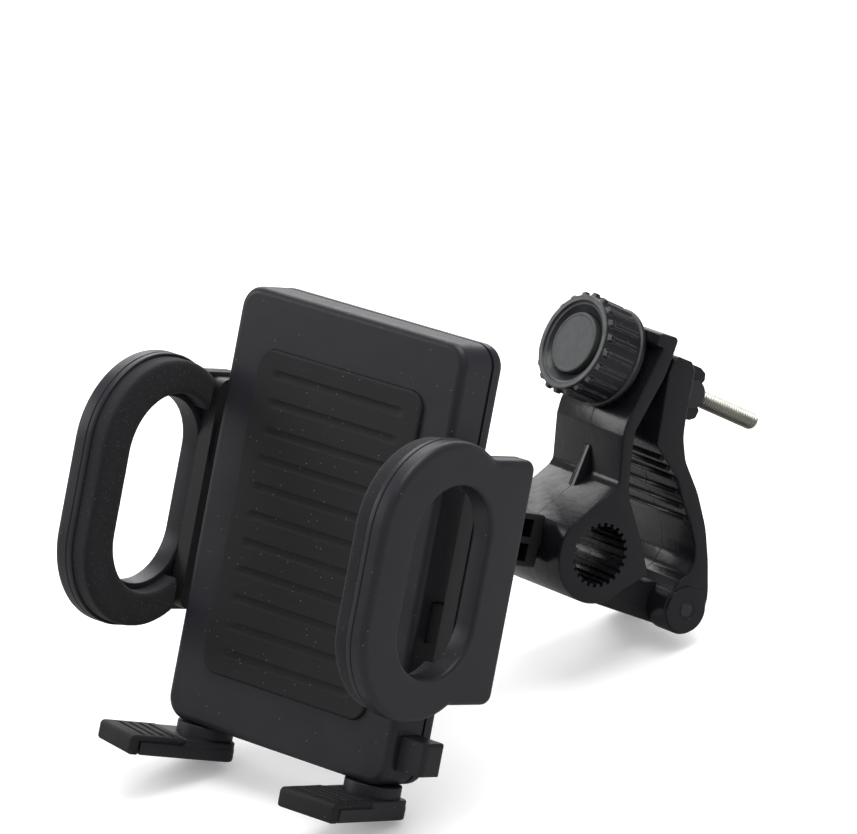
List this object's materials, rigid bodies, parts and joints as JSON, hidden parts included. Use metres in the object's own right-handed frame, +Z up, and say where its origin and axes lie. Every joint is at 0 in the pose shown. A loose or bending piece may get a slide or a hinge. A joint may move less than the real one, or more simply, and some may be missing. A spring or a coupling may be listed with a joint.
{
  "type": "phone handlebar mount",
  "caption": "Squeeze-grip phone cradle with foam-lined arms and swivelling feet, on a ball joint and stem to a hinged-jaw handlebar clamp with a knob bolt.",
  "frame": {"origin": "centre of the space the two jaws grip, on the clamp's middle plane", "axes": "X across the cradle, +Y from the cradle towards the clamp bolt's tip, +Z up as the mount stands on its two feet and the clamp's hinge end"},
  "size_m": [0.088, 0.1539, 0.096],
  "materials": {
    "black_plastic": "satin black moulded plastic",
    "gloss_black": "smooth semi-gloss black moulded nylon",
    "knob_cap": "satin black plastic cap, paler from wear",
    "foam": "closed-cell EVA foam, fine specks",
    "rubber": "matte moulded rubber",
    "steel": "bright zinc-plated steel",
    "dark_metal": "blackened steel",
    "nylon": "black nylon"
  },
  "bodies": {
    "clamp": {"fixed_jaw": "gloss_black"},
    "jaw": {"moving_jaw": "gloss_black", "hinge_pin": "steel"},
    "nut": {"barrel_nut": "dark_metal"},
    "washer": {"clamp_washer": "steel"},
    "knob": {"clamp_knob": "black_plastic", "knob_cap": "knob_cap", "clamp_bolt": "steel"},
    "stem": {"ball_stem": "black_plastic", "stem_screw": "steel"},
    "seat": {"ball_seat": "nylon"},
    "cradle": {"housing_front": "black_plastic", "housing_rear": "black_plastic", "back_pad": "rubber", "housing_screws": "steel", "pinion_axle": "steel", "pawl_pin": "steel", "socket_cup": "black_plastic", "socket_screws": "steel", "arm_spring_left": "steel", "arm_spring_right": "steel", "button_spring": "steel"},
    "ring": {"ring_nut": "black_plastic"},
    "right_arm": {"arm_right": "black_plastic", "arm_pad_right": "foam", "rack_right": "nylon", "arm_screws_right": "steel"},
    "left_arm": {"arm_left": "black_plastic", "arm_pad_left": "foam", "rack_left": "nylon", "arm_screws_left": "steel"},
    "pinion": {"pinion": "nylon"},
    "button": {"release_button": "black_plastic"},
    "pawl": {"pawl": "nylon"},
    "right_foot": {"foot_right": "black_plastic", "foot_pad_right": "rubber", "foot_clip_right": "steel"},
    "left_foot": {"foot_left": "black_plastic", "foot_pad_left": "rubber", "foot_clip_left": "steel"}
  },
  "joints": [
    {"name": "jaw_swing", "type": "hinge", "parent": "clamp", "child": "jaw", "pos_m": [0.00267, 0.00179, -0.0219], "axis": [-0.9694, 0.2241, -0.0998], "range_deg": [0, 22]},
    {"name": "nut_pivot", "type": "hinge", "parent": "jaw", "child": "nut", "pos_m": [0.00211, 0.01834, 0.02073], "axis": [-0.9694, 0.2241, -0.0998], "range_deg": [-22.1, 0.1]},
    {"name": "bolt_feed", "type": "slide", "parent": "nut", "child": "washer", "axis": [-0.2377, -0.7577, 0.6077], "range_m": [-0.0001, 0.01745]},
    {"name": "knob_turn", "type": "hinge", "parent": "washer", "child": "knob", "pos_m": [-0.00429, -0.00204, 0.03708], "axis": [0.2377, 0.7577, -0.6077], "continuous": true},
    {"name": "stem_swivel", "type": "hinge", "parent": "clamp", "child": "stem", "pos_m": [-0.00798, -0.0321, 0.00547], "axis": [0.245, 0.8647, -0.4385], "range_deg": [-180, 180]},
    {"name": "ball_tilt", "type": "hinge", "parent": "stem", "child": "seat", "pos_m": [-0.01533, -0.05804, 0.01862], "axis": [0.9694, -0.2241, 0.0998], "range_deg": [-16, 18]},
    {"name": "ball_yaw", "type": "hinge", "parent": "seat", "child": "cradle", "pos_m": [-0.01533, -0.05804, 0.01862], "axis": [0, 0.4067, 0.9135], "range_deg": [-36, 8]},
    {"name": "ring_turn", "type": "hinge", "parent": "cradle", "child": "ring", "pos_m": [-0.01533, -0.05804, 0.01862], "axis": [0, 0.9135, -0.4067], "range_deg": [0, 90]},
    {"name": "arm_slide_right", "type": "slide", "parent": "cradle", "child": "right_arm", "axis": [1, 0, 0], "range_m": [-0.0032, 0.0125], "deforming": ["arm_spring_right"]},
    {"name": "arm_slide_left", "type": "slide", "parent": "cradle", "child": "left_arm", "axis": [-1, 0, 0], "range_m": [-0.0032, 0.0125], "deforming": ["arm_spring_left"]},
    {"name": "pinion_turn", "type": "hinge", "parent": "cradle", "child": "pinion", "pos_m": [-0.01533, -0.0752, 0.02188], "axis": [0, 0.9135, -0.4067], "range_deg": [-119.8, 31]},
    {"name": "button_press", "type": "slide", "parent": "cradle", "child": "button", "axis": [-1, 0, 0], "range_m": [0, 0.0025], "stiffness_N_per_m": 400, "springref_m": -0.001, "deforming": ["button_spring"]},
    {"name": "pawl_swing", "type": "hinge", "parent": "cradle", "child": "pawl", "pos_m": [-0.00933, -0.08537, -0.00096], "axis": [0, 0.9135, -0.4067], "range_deg": [-0.5, 12.2]},
    {"name": "foot_swivel_right", "type": "hinge", "parent": "cradle", "child": "right_foot", "pos_m": [0.00867, -0.09505, -0.02073], "axis": [0, 0.4067, 0.9135], "range_deg": [-62, 58]},
    {"name": "foot_swivel_left", "type": "hinge", "parent": "cradle", "child": "left_foot", "pos_m": [-0.03933, -0.09505, -0.02073], "axis": [0, 0.4067, 0.9135], "range_deg": [-40, 80]}
  ],
  "couplings": [
    {"joint": "nut_pivot", "follows": "jaw_swing", "ratio": -1},
    {"joint": "bolt_feed", "follows": "jaw_swing", "m_per_rad": 0.045194},
    {"joint": "arm_slide_left", "follows": "arm_slide_right", "ratio": 1},
    {"joint": "pinion_turn", "follows": "arm_slide_right", "rad_per_m": -166.67},
    {"joint": "pawl_swing", "follows": "button_press", "rad_per_m": 82.6}
  ]
}
